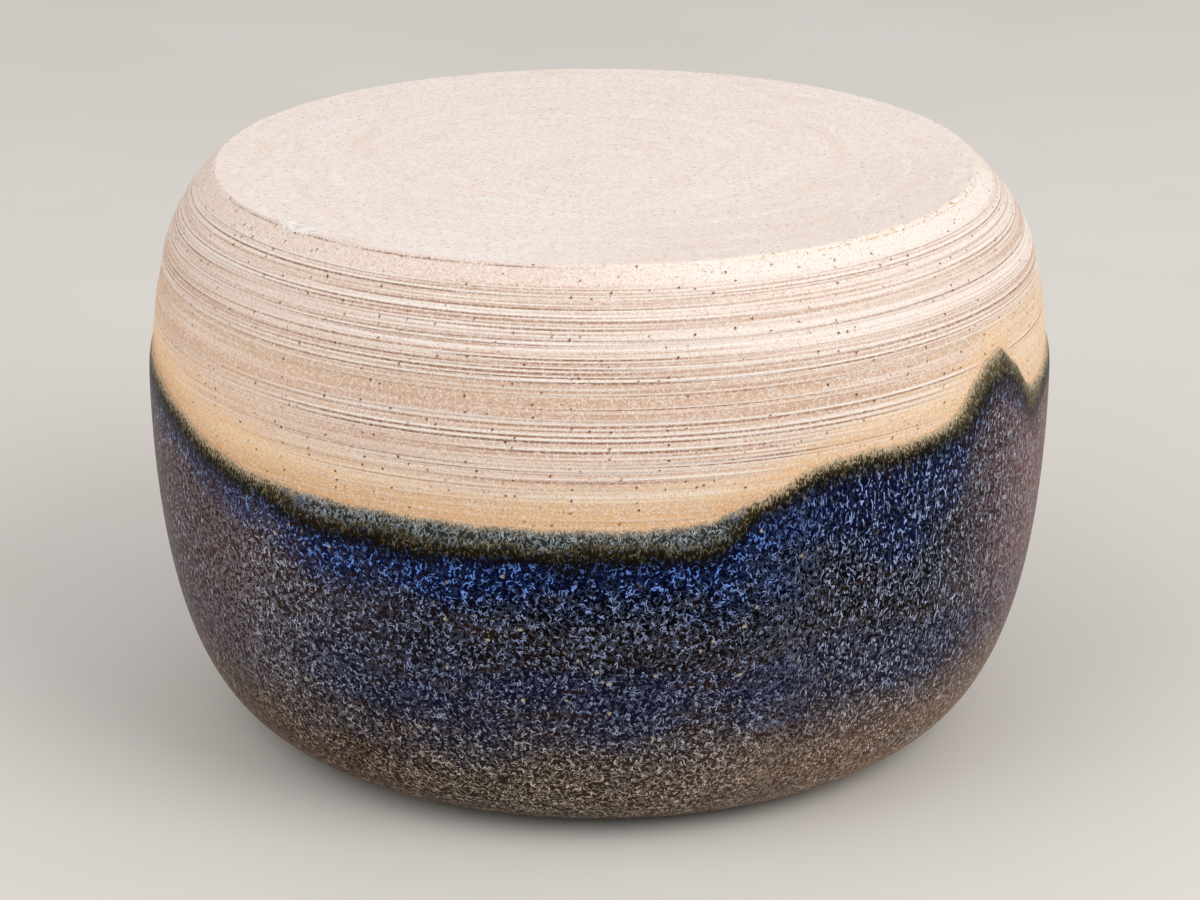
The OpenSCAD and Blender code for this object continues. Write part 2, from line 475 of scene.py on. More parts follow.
def make_clay():
    """The clay: the hidden inside from its middle, the lip, the outside, and the base up to its middle."""
    hidden = np.linspace(inside.end, 0, HIDDEN_RINGS)[:, None]
    under = np.linspace(0, S_LEVEL - CLOSE_BELOW_DIP, UNDER_RINGS)
    wall = np.arange(S_LEVEL - CLOSE_BELOW_DIP, S_LEDGE - CLOSE_BELOW_LEDGE, WALL_STEP)
    corner = np.arange(S_LEDGE - CLOSE_BELOW_LEDGE, S_EDGE + CLOSE_PAST_EDGE, CORNER_STEP)
    disc = S_EDGE + DISC_FROM + (BASE_R - DISC_FROM) * np.linspace(0, 1, DISC_RINGS) ** DISC_CROWDING
    length = np.concatenate([under[:-1], wall, corner, disc])[:, None]
    angle = np.concatenate([np.arange(*stretch) for stretch in COLUMN_STRETCHES])[None, :]
    above = length - dip_length(angle)
    toast = above / (outside.length_at(curve_round(TOAST_TOP, angle)) - dip_length(angle))
    bare = smooth_step(above, 0.0, BARE_REACH)
    # The grooves are shallower next to the glaze, on the left and on the corner at the burr's side
    burr_side = smooth_step(angle, *BURR_START) * (1 - smooth_step(angle, *BURR_END))
    past_ledge = smooth_step(length, S_LEDGE, S_LEDGE + LEDGE_BLEND)
    soft_corner = SOFT_AT_BURR * burr_side * past_ledge
    soft_left = SOFT_LEFT_WALL + (SOFT_LEFT_CORNER - SOFT_LEFT_WALL) * past_ledge
    soft_left = soft_left * smooth_step(-angle, *LEFT_START)
    shallow = DEPTH_AT_GLAZE + (1 - DEPTH_AT_GLAZE) * smooth_step(toast, *DEPTH_GROWS)
    shallow = shallow * (1 - soft_corner) * (1 - soft_left)
    grooves = bare * shallow * groove_relief(length, angle)
    # The base's edge is chipped, ragged and cracked
    lumps, chipped = chip_relief(length, angle)
    past_edge = length - S_EDGE
    at_edge = np.exp(-((past_edge / RAGGED_REACH) ** 2))
    near_front = 1 - smooth_step(np.abs(turned(angle - RAGGED_AT)), *RAGGED_END)
    ragged = RAGGED + RAGGED_FRONT * near_front + RAGGED_BURR * burr_side
    ragged = ragged * waves(angle, seed=31, first=25, last=90, count=10) * at_edge
    crack_at = S_EDGE - CRACK_BELOW + CRACK_SWAY * waves(angle, seed=32, first=2, last=9, count=4)
    crack = crack_strength(angle) * (1 - chipped) * np.exp(-(((length - crack_at) / CRACK_W) ** 2))
    relief = grooves - (1 - bare) * CLAY_SINK + lumps + ragged - CRACK_DEPTH * crack
    radius, height = outside.at(length, relief)
    x, y, z = round_places(radius, np.minimum(height, POT_H + EDGE_PROUD), angle)
    shift = smooth_step(length, S_LEDGE, S_EDGE) * np.clip((outside.end - length) / BASE_R, 0, 1)
    x = x + BASE_OFFSET[0] * shift
    y = y + BASE_OFFSET[1] * shift
    x_in, y_in, z_in = round_places(*inside.at(hidden, -CLAY_SINK), angle)
    # Where the material shows the burr, the painted shade on the base behind it and the cream clay below it,
    # which is partly painted light
    left_burr = smooth_step(angle, *LEFT_BURR_START) * (1 - smooth_step(angle, *LEFT_BURR_END))
    burr = (burr_side + LEFT_BURR * left_burr) * np.exp(-((past_edge / BURR_REACH) ** 2))
    dull = burr_side * smooth_step(past_edge, *DISC_SHADE_START) * (1 - smooth_step(past_edge, *DISC_SHADE_END))
    upward = (past_ledge + smooth_step(past_edge, *CREAM_START)) / 2
    cream = burr_side * upward * (1 - smooth_step(past_edge, *CREAM_END))
    order = np.concatenate([-hidden[:, 0], length[:, 0]])
    shares = cumulative_share(order, np.where(order[1:] < S_LEVEL - UNSEEN_BELOW, UNSEEN_WEIGHT, 1.0))
    values = {
        "along": past_edge + 0 * angle, "above": above, "toast": toast, "relief": grooves,
        "chipped": chipped, "crack": crack, "burr": burr, "cream": cream, "dull": dull,
    }
    # The hidden inside gets blank values, and counts as far from the base's edge
    blank = np.zeros((len(hidden), angle.size))
    values = {key: np.concatenate([blank - (key == "along") * S_EDGE, grid]) for key, grid in values.items()}
    grids = [np.concatenate(pair) for pair in ((x_in, x), (y_in, y), (z_in, z))]
    return lathe("stoneware_clay", *grids, values, shares)


# The outside glaze
# Thickness at the edge, the length over which it grows to the full one, and how uneven that is
EDGE_T = 0.03
EDGE_REACH = 0.9
UNEVEN_T = 0.03
# Lengths below the edge over which the unevenness starts and ends
UNEVEN_START = (1, 6)
UNEVEN_END = (30, 40)
# The roll: what it adds to the thickness, and its middle and half width below the edge
ROLL_T = 0.2
ROLL_AT = 1.5
ROLL_W = 1.3
# Rings of the front and the back, and how much closer they get to the edge
GLAZE_RINGS = 100
GLAZE_BACK_RINGS = 14
EDGE_CROWDING = 2.2
# How much of the bake's map the front takes, and where the back starts on it
FRONT_SHARE = 0.96
BACK_SHARE = 0.965
# The middle of the front, and the angles from it over which the sides, where the coat gets painted sheen, and
# the back take over
FRONT_AT = 8
LEFT_BLEND = (31, 61)
RIGHT_BLEND = (34, 62)
BACK_BLEND = (105, 150)
BACK_FALL = 0.8
# Angles over which the hairs become combed, to the right and to the left
COMB_RIGHT = (14, 32)
COMB_LEFT = (40, 65)
# Angles over which the peak's pale fringe starts and ends
CREST_START = (42, 52)
CREST_END = (68, 78)
# How fast the blue fades below the edge, by angle round the pot
BLUE_FADE = [
    (-180, 1.0), (-140, 1.1), (-80, 1.4), (-55, 1.05), (-30, 1.0), (8, 1.0), (24, 0.55), (42, 0.6), (58, 1.1),
    (75, 2.0), (120, 1.5), (150, 0.8),
]


def glaze_thickness(below, angle):
    """Thickness of the coat at a length below its edge."""
    uneven = UNEVEN_T * waves(angle, seed=21, first=3, last=12, count=5)
    uneven = uneven * smooth_step(below, *UNEVEN_START) * (1 - smooth_step(below, *UNEVEN_END))
    roll = ROLL_T * thick_roll(angle) * np.exp(-(((below - ROLL_AT) / ROLL_W) ** 2))
    return EDGE_T + (1 - np.exp(-below / EDGE_REACH)) * (GLAZE_T - EDGE_T + uneven + roll)


def make_glaze():
    """The outside coat, from the inner edge of the lip up to the dip line, and back under itself."""
    angle = np.linspace(-180, 180, GLAZE_SEGMENTS, endpoint=False)[None, :]
    line = dip_length(angle)
    front = np.linspace(0, 1, GLAZE_RINGS)[:, None]
    back = np.linspace(1, 0, GLAZE_BACK_RINGS)[:, None]
    below = line * (1 - front) ** EDGE_CROWDING
    radius, height = outside.at(line - below, glaze_thickness(below, angle))
    back_below = line * (1 - back) ** EDGE_CROWDING
    back_radius, back_height = outside.at(line - back_below, -SEAT)
    radius = np.concatenate([radius, back_radius])
    height = np.concatenate([height, back_height])
    x, y, z = round_places(radius, height, angle)
    # side is 0 at the front and 1 on the sides, and less at the back; the material paints a grazing sheen
    # where it is high
    from_front = np.abs(turned(angle - FRONT_AT))
    left_side = smooth_step(from_front, *LEFT_BLEND)
    right_side = smooth_step(from_front, *RIGHT_BLEND)
    side = np.where(angle < FRONT_AT, left_side, right_side)
    side = side * (1 - BACK_FALL * smooth_step(from_front, *BACK_BLEND))
    fade = curve_round(BLUE_FADE, angle)
    below = np.concatenate([below, back_below])
    comb = smooth_step(angle, *COMB_RIGHT) + smooth_step(-angle, *COMB_LEFT)
    crest = smooth_step(angle, *CREST_START) * (1 - smooth_step(angle, *CREST_END))
    values = {
        "below": below, "roll": thick_roll(angle), "side": side, "fade": fade, "comb": comb, "crest": crest,
    }
    back_shares = np.linspace(BACK_SHARE, 1, GLAZE_BACK_RINGS + 1)
    shares = np.concatenate([FRONT_SHARE * front[:, 0], back_shares])
    return lathe("blue_glaze", x, y, z, values, shares, closed=True)


# The liner
LINER_RINGS = 150
LINER_BACK_RINGS = 20
# Weight of the liner's back on the bake's map
LINER_BACK_WEIGHT = 0.05
# Throwing rings: their spacing and height, and how far from the lip and from the middle they fade in
THROW_PITCH = 4.6
THROW_H = 0.1
THROW_FROM_LIP = (3, 9)
THROW_FROM_MIDDLE = (4, 14)


def make_liner():
    """The inside coat, from the middle along its back to the lip, and along its front to the middle."""
    angle = np.linspace(-180, 180, LINER_SEGMENTS, endpoint=False)[None, :]
    front = np.linspace(0, inside.end, LINER_RINGS)[:, None]
    back = np.linspace(inside.end, 0, LINER_BACK_RINGS)[:, None]
    turn = 2 * np.pi * (front / THROW_PITCH - angle / 360)
    rings = THROW_H * np.sin(turn) * smooth_step(front, *THROW_FROM_LIP)
    rings = rings * smooth_step(inside.end - front, *THROW_FROM_MIDDLE)
    radius, height = inside.at(front, GLAZE_T + rings)
    back_radius, back_height = inside.at(back, -SEAT)
    radius = np.concatenate([back_radius + 0 * angle, radius])
    height = np.concatenate([back_height + 0 * angle, height])
    order = np.concatenate([-back[:, 0], front[:, 0]])
    shares = cumulative_share(order, np.where(order[1:] <= 0, LINER_BACK_WEIGHT, 1.0))
    x, y, z = round_places(radius, height, angle)
    return lathe("liner_glaze", x, y, z, {"inward": np.abs(order)[:, None]}, shares)


# Materials
def srgb(red, green, blue):
    """A colour as seen on a screen, 0 to 255, as the linear one that shaders take."""
    part = [c / 255 for c in (red, green, blue)]
    return tuple(c / 12.92 if c <= 0.04045 else ((c + 0.055) / 1.055) ** 2.4 for c in part) + (1.0,)


class Shader:
    """A material's nodes, with one short call for each kind. Places are millimetres in the part's frame."""

    def __init__(self, name):
        self.material = bpy.data.materials.new(name)
        self.material.use_nodes = True
        self.tree = self.material.node_tree
        self.bsdf = self.tree.nodes["Principled BSDF"]
        self.place = self.scaled(self.node("TexCoord").outputs["Object"], (1 / MM, 1 / MM, 1 / MM))

    def node(self, kind, sockets=None, **settings):
        made = self.tree.nodes.new("ShaderNode" + kind)
        for key, value in settings.items():
            setattr(made, key, value)
        for key, value in (sockets or {}).items():
            self.put(made.inputs[key], value)
        return made

    def put(self, socket, value):
        if isinstance(value, bpy.types.NodeSocket):
            self.tree.links.new(value, socket)
        else:
            socket.default_value = value

    def value(self, name):
        return self.node("Attribute", attribute_name=name).outputs["Fac"]

    def axis(self, name):
        return self.node("SeparateXYZ", {0: self.place}).outputs[name]

    def math(self, operation, first, second=0.0):
        return self.node("Math", {0: first, 1: second}, operation=operation).outputs[0]

    def times(self, first, second):
        return self.math("MULTIPLY", first, second)

    def plus(self, first, second):
        return self.math("ADD", first, second)

    def ease(self, value, low, high, start=0.0, end=1.0):
        """Start where value is low, end where it is high, and smooth between."""
        sockets = {"Value": value, "From Min": low, "From Max": high, "To Min": start, "To Max": end}
        return self.node("MapRange", sockets, interpolation_type="SMOOTHSTEP").outputs[0]

    def vector(self, operation, first, second=(0.0, 0.0, 0.0)):
        return self.node("VectorMath", {0: first, 1: second}, operation=operation).outputs[0]

    def scaled(self, place, factors):
        return self.vector("MULTIPLY", place, factors)

    def moved(self, place, offset):
        return self.vector("ADD", place, offset)

    def noise(self, place, size, detail=2.0, roughness=0.5, distortion=0.0):
        sockets = {"Vector": place, "Scale": 1 / size, "Detail": detail, "Roughness": roughness,
                   "Distortion": distortion}
        return self.node("TexNoise", sockets).outputs[0]

    def drawn_out(self, value, squeeze):
        """Places for a pattern that runs round the pot: squeezed round it, and true along value."""
        flat = self.scaled(self.place, (squeeze, squeeze, 0.0))
        return self.moved(flat, self.node("CombineXYZ", {2: value}).outputs[0])

    def specks(self, size, radius, share, offset):
        """Scattered ragged spots up to a radius: 1 in a spot and 0 outside, in a share of cells of a size."""
        core = 0.7 * radius
        shake = 2 * radius
        place = self.moved(self.place, offset)
        sockets = {"Vector": place, "Scale": 1.2 / radius, "Detail": 1.0}
        shaken = self.node("TexNoise", sockets).outputs["Color"]
        place = self.moved(place, self.scaled(shaken, (shake, shake, shake)))
        cells = self.node("TexVoronoi", {"Vector": place, "Scale": 1 / size})
        chance = self.node("SeparateColor", {0: cells.outputs["Color"]}).outputs[0]
        spot = self.ease(cells.outputs["Distance"], radius / size, core / size)
        return self.times(spot, self.math("LESS_THAN", chance, share))

    def hairs(self, size, width, gap=0.5, offset=(0.0, 0.0, 0.0), stretch=1.0):
        """Short curly lines of an even width, stretched upwards: 1 on a line and 0 between.

        size is about the distance between lines, and a larger gap breaks them more. A line lies where a
        smooth noise is at its middle. The slope of the noise over the surface turns its value into a
        distance from the line.
        """
        around = self.vector("NORMALIZE", self.vector("CROSS_PRODUCT", (0.0, 0.0, 1.0), self.place))
        upward = self.vector("CROSS_PRODUCT", self.node("NewGeometry").outputs["Normal"], around)
        step = 0.15 * size
        outer = 0.65 * width / step
        inner = 0.3 * width / step
        least_slope = 0.03
        soft = 0.04
        start = self.moved(self.place, offset)
        places = [start]
        places += [self.moved(start, self.scaled(way, (step, step, step))) for way in (around, upward)]
        squeezed = [self.scaled(place, (1.0, 1.0, 1 / stretch)) for place in places]
        here, beside, over = [self.noise(place, size, detail=0.0, distortion=0.9) for place in squeezed]
        rises = [self.math("POWER", self.math("SUBTRACT", there, here), 2.0) for there in (beside, over)]
        slope = self.math("MAXIMUM", self.math("SQRT", self.plus(*rises)), least_slope)
        away = self.math("DIVIDE", self.math("ABSOLUTE", self.plus(here, -0.5)), slope)
        line = self.ease(away, outer, inner)
        breaks = self.noise(self.moved(start, (37.0, 11.0, 5.0)), 0.9 * size, detail=0.0)
        return self.times(line, self.ease(breaks, gap - soft, gap + soft))

    def mix(self, factor, first, second):
        return self.node("Mix", {0: factor, 6: first, 7: second}, data_type="RGBA").outputs[2]

    def bump(self, height, strength, distance):
        """A bumped normal. distance is the height in millimetres of a step from 0 to 1."""
        sockets = {"Height": height, "Strength": strength, "Distance": distance * MM}
        return self.node("Bump", sockets).outputs[0]

    def finish(self, piece):
        piece.data.materials.clear()
        piece.data.materials.append(self.material)


# The clay's colours
CLAY = srgb(238, 216, 203)
CLAY_WALL = srgb(223, 190, 167)
# Painted light: the wall on the left, lighter and redder
CLAY_WALL_LIT_LEFT = srgb(234, 198, 171)
CLAY_DISC = srgb(253, 239, 232)
CLAY_DISC_WARM = srgb(246, 228, 213)
# Grey of the scratches on the base, and of the painted shade on its front right
CLAY_DISC_SCRATCH_AND_SHADE = srgb(228, 211, 203)
DISC_TAN = srgb(244, 219, 198)
# Partly the clay's own cream at the burr and partly painted light on the right
CLAY_CREAM_AND_LIT = srgb(254, 242, 232)
CLAY_PALE = srgb(255, 247, 240)
CHIP_WHITE = srgb(255, 250, 244)
CLAY_TAN = srgb(200, 160, 134)
# Painted shade in the grooves
GROOVE_SHADE_TAN = srgb(152, 108, 82)
# Painted shade along the ledge's step
LEDGE_SHADE_TAN = srgb(213, 179, 149)
TOASTED = srgb(242, 208, 164)
# Painted light: the toasted clay on the left, lighter and redder
TOASTED_LIT_LEFT = srgb(254, 212, 160)
TOASTED_DEEP = srgb(229, 175, 120)
CRACK_BROWN = srgb(136, 92, 62)
BURR_CREAM = srgb(255, 245, 230)
OCHRE = srgb(216, 170, 116)
IRON = srgb(56, 26, 8)
IRON_HALO = srgb(150, 94, 54)
RUST = srgb(204, 152, 96)
# Sizes of the clay's patterns, and the widths of its turned lines and of the arcs on its base
GRAIN_SIZE = 0.22
BLOTCH_SIZE = 8.0
FLAKE_SIZE = 0.9
COARSE_LINE = 0.7
FINE_LINE = 0.26
BROAD_LINE = 2.4
ARC_WIDTH = 1.7
# How much the lines and the arcs are squeezed round the pot
LINE_SQUEEZE = 0.008
ARC_SQUEEZE = 0.16


def clay_material(piece):
    m = Shader("bare stoneware")
    x = m.axis("X")
    along = m.value("along")
    above = m.value("above")
    toast = m.value("toast")
    relief = m.value("relief")
    chipped = m.value("chipped")
    grain = m.noise(m.place, GRAIN_SIZE, roughness=0.6, distortion=0.8)
    stroke = m.hairs(size=0.44, width=0.13, gap=0.47)
    blotch = m.noise(m.place, BLOTCH_SIZE, detail=3.0, roughness=0.55)
    flake = m.noise(m.place, FLAKE_SIZE, roughness=0.6, distortion=0.8)
    rings = m.drawn_out(m.plus(along, m.ease(grain, 0.3, 0.7, -0.015, 0.015)), LINE_SQUEEZE)
    coarse = m.noise(rings, COARSE_LINE)
    fine = m.noise(m.moved(rings, (40.0, 0.0, 0.0)), FINE_LINE, detail=1.0)
    broad = m.noise(m.moved(rings, (0.0, 60.0, 0.0)), BROAD_LINE, detail=1.0)
    on_disc = m.ease(along, -0.1, 0.15)
    ledge = float(S_LEDGE - S_EDGE)
    # Where turned lines show: not near the base's edge, and less next to the glaze, below the ledge and left
    lined = m.times(m.ease(along, -2.2, -3.0), m.ease(toast, 0.3, 1.0, 0.35, 1.0))
    lined = m.times(lined, m.ease(along, ledge - 1.0, ledge + 1.0, 0.55, 1.0))
    lined = m.times(lined, m.ease(x, -18.0, -38.0, 1.0, 0.75))
    # Tan clay on the wall, paler on the corner and on the base; on the left the wall is painted lighter and
    # redder, as painted light
    left = m.ease(x, -15.0, -40.0)
    colour = m.mix(m.ease(along, -7.0, -15.0), CLAY, m.mix(left, CLAY_WALL, CLAY_WALL_LIT_LEFT))
    # Paler cream clay on the right, partly the clay's own cream at the burr and partly painted light where
    # the key light falls on the corner
    colour = m.mix(m.value("cream"), colour, CLAY_CREAM_AND_LIT)
    disc = m.mix(m.ease(blotch, 0.5, 0.75, 0.0, 0.45), CLAY_DISC, CLAY_DISC_WARM)
    # Painted shade: the base is greyer on the front right, behind the burr
    disc = m.mix(m.times(m.value("dull"), 0.35), disc, CLAY_DISC_SCRATCH_AND_SHADE)
    # Faint arcs, scratches and strokes on the base
    swirl = m.noise(m.drawn_out(along, ARC_SQUEEZE), ARC_WIDTH, roughness=0.55)
    disc = m.mix(m.ease(swirl, 0.54, 0.74, 0.0, 0.5), disc, DISC_TAN)
    disc = m.mix(m.ease(swirl, 0.46, 0.3, 0.0, 0.6), disc, CHIP_WHITE)
    scratch = m.hairs(size=0.7, width=0.18, gap=0.46, offset=(21.0, 5.0, 3.0))
    disc = m.mix(m.times(scratch, 0.7), disc, CLAY_DISC_SCRATCH_AND_SHADE)
    disc = m.mix(m.times(stroke, 0.5), disc, CHIP_WHITE)
    colour = m.mix(on_disc, colour, disc)
    # Painted shade: a soft tan band along the ledge's step, stronger in places
    near = m.ease(m.math("ABSOLUTE", m.plus(along, 0.05 - ledge)), 1.2, 0.1)
    colour = m.mix(m.times(near, m.ease(blotch, 0.35, 0.65, 0.45, 0.85)), colour, LEDGE_SHADE_TAN)
    # The clay is toasted next to the glaze
    reach = m.plus(toast, m.ease(blotch, 0.3, 0.7, 0.15, -0.15))
    reach = m.plus(reach, m.ease(coarse, 0.3, 0.7, -0.15, 0.15))
    # On the left the toasted clay is painted lighter and redder, as painted light
    colour = m.mix(m.ease(reach, 1.25, 0.5, 0.0, 0.9), colour, m.mix(left, TOASTED, TOASTED_LIT_LEFT))
    deep = m.times(m.ease(above, 3.4, 0.4, 0.0, 0.8), m.ease(x, 5.0, 32.0, 1.0, 0.4))
    colour = m.mix(deep, colour, TOASTED_DEEP)
    # Turned lines: tan and pale bands, and, from the grooves' relief, painted shade in the grooves and
    # painted highlights on their ridges
    slim = m.ease(left, 0.0, 1.0, 1.0, 0.5)
    banded = m.times(m.times(lined, slim), m.ease(along, ledge - 1.0, ledge + 1.0, 1.8, 1.0))
    colour = m.mix(m.times(banded, m.ease(broad, 0.5, 0.34, 0.0, 0.45)), colour, CLAY_TAN)
    colour = m.mix(m.times(banded, m.ease(broad, 0.5, 0.66, 0.0, 0.4)), colour, CLAY_PALE)
    wide = m.times(m.times(lined, slim), m.ease(m.value("cream"), 0.0, 1.0, 1.0, 0.5))
    colour = m.mix(m.times(wide, m.ease(coarse, 0.54, 0.32, 0.0, 0.5)), colour, CLAY_TAN)
    colour = m.mix(m.times(lined, m.ease(fine, 0.47, 0.34, 0.0, 0.72)), colour, CLAY_TAN)
    relief_shading = m.plus(relief, m.ease(grain, 0.3, 0.7, 0.01, -0.01))
    # Painted shade in the grooves, by their relief
    colour = m.mix(m.ease(relief_shading, -0.008, -0.055, 0.0, 0.95), colour, GROOVE_SHADE_TAN)
    colour = m.mix(m.times(lined, m.ease(fine, 0.54, 0.66, 0.0, 0.75)), colour, CLAY_PALE)
    # Painted highlights on the ridges, by their relief
    colour = m.mix(m.ease(relief_shading, 0.01, 0.04, 0.0, 0.95), colour, CLAY_PALE)
    # The base's edge: a ragged cream burr on the right, and a crack that is brown left of it and ochre in it
    burr = m.times(m.value("burr"), m.ease(flake, 0.36, 0.52))
    colour = m.mix(burr, colour, BURR_CREAM)
    colour = m.mix(m.times(burr, m.ease(flake, 0.57, 0.64, 0.0, 0.85)), colour, OCHRE)
    crack = m.times(m.value("crack"), m.ease(m.value("cream"), 0.0, 0.5, 1.0, m.ease(flake, 0.42, 0.54)))
    crack_colour = m.mix(m.ease(m.value("cream"), 0.0, 0.5), CRACK_BROWN, OCHRE)
    colour = m.mix(m.times(crack, m.ease(grain, 0.3, 0.5, 0.7, 1.0)), colour, crack_colour)
    colour = m.mix(m.ease(chipped, 0.3, 0.8), colour, CHIP_WHITE)
    # Grain, and iron that has burnt out of the clay
    quiet = m.ease(on_disc, 0.0, 1.0, 1.0, 0.35)
    colour = m.mix(m.times(quiet, m.ease(grain, 0.53, 0.66, 0.0, 0.5)), colour, CLAY_PALE)
    pale_stroke = m.times(m.ease(on_disc, 0.0, 0.1, 1.0, 0.0), m.ease(toast, 0.5, 1.3, 0.36, 0.52))
    pale_stroke = m.times(pale_stroke, m.ease(along, -3.2, -2.4, 1.0, 1.6))
    colour = m.mix(m.times(stroke, pale_stroke), colour, CLAY_PALE)
    colour = m.mix(m.times(quiet, m.ease(grain, 0.46, 0.32, 0.0, 0.6)), colour, CLAY_TAN)
    rust = m.specks(size=1.7, radius=0.17, share=0.3, offset=(3.0, 1.0, 7.0))
    colour = m.mix(m.times(rust, m.ease(on_disc, 0.0, 1.0, 0.8, 0.3)), colour, RUST)
    stain = m.specks(size=0.95, radius=0.19, share=0.42, offset=(0.0, 0.0, 0.0))
    colour = m.mix(m.times(stain, m.ease(on_disc, 0.0, 1.0, 0.5, 0.2)), colour, IRON_HALO)
    dark = m.specks(size=0.95, radius=0.13, share=0.42, offset=(0.0, 0.0, 0.0))
    colour = m.mix(m.times(dark, m.ease(on_disc, 0.0, 1.0, 0.95, 0.45)), colour, IRON)
    m.put(m.bsdf.inputs["Base Color"], colour)
    m.bsdf.inputs["Roughness"].default_value = 0.92
    m.bsdf.inputs["Specular IOR Level"].default_value = 0.1
    lines = m.times(lined, m.plus(m.times(fine, 0.08), m.times(coarse, 0.1)))
    height = m.plus(lines, m.plus(m.times(grain, 0.14), m.times(stroke, 0.03)))
    height = m.plus(height, m.times(chipped, m.times(flake, 0.5)))
    m.put(m.bsdf.inputs["Normal"], m.bump(height, strength=0.8, distance=1.0))
    m.finish(piece)


# The glazes' colours
BLUE = srgb(2, 8, 48)
DARK = srgb(2, 2, 5)
BROWN = srgb(22, 13, 9)
STREAK = srgb(40, 24, 15)
# Painted sheen towards the sides, warm like a reflection of warm surroundings
SHEEN_PURPLE = srgb(92, 61, 56)
SHEEN_PURPLE_LEFT = srgb(59, 37, 33)
MAUVE = srgb(28, 23, 30)
NAVY = srgb(18, 18, 40)
# Towards the rim: partly the coat's own brown and partly painted warm reflection from below
RIM_DARK = srgb(36, 26, 18)
RIM_BROWN = srgb(66, 53, 43)
RIM_OCHRE = srgb(98, 68, 47)
FRINGE = srgb(11, 8, 4)
OLIVE = srgb(60, 51, 28)
CREST = srgb(84, 76, 54)
ROLL = srgb(42, 45, 43)
FUZZ = srgb(190, 170, 144)
# Clay at the coat's very edge, darker than the toasted clay as painted shade
SHADED_EDGE_CLAY = srgb(216, 184, 146)
HAIR_BLUE = srgb(112, 156, 240)
HAIR_GREY = srgb(143, 157, 191)
# Crystals on the sides: partly their own colour and partly painted warm sheen
HAIR_SIDE = srgb(206, 180, 178)
HAIR_LEFT = srgb(196, 199, 216)
HAIR_FAR_LEFT = srgb(188, 165, 164)
HAIR_PALE = srgb(188, 199, 226)
HAIR_RIM = srgb(222, 206, 190)
HAIR_RIM_LEFT = srgb(200, 174, 153)
HAIR_ROLL = srgb(162, 174, 182)
HAIR_OLIVE = srgb(122, 111, 80)
HAIR_FRINGE = srgb(150, 138, 104)
HAIR_CREST = srgb(158, 148, 122)
TAN_SPECK = srgb(178, 166, 140)
SATIN_TINT = srgb(255, 204, 168)
# Sizes of the glaze's patterns
DRIFT_SIZE = 9.0
MOTTLE_SIZE = 1.3
SHINE_SIZE = 0.7
FUR_SIZE = 0.16
STREAK_SIZE = 1.8
# Heights over which the bands of colour set in, the brown one from above and from below
BROWN_FROM_TOP = (28.0, 24.5)
BROWN_FROM_FOOT = (21.0, 24.0)
NAVY_FROM = (24.0, 20.0)
RIM_FROM = (19.0, 7.0)
# Depth below the edge over which the blue sets in
BLUE_FROM = (8.5, 3.0)


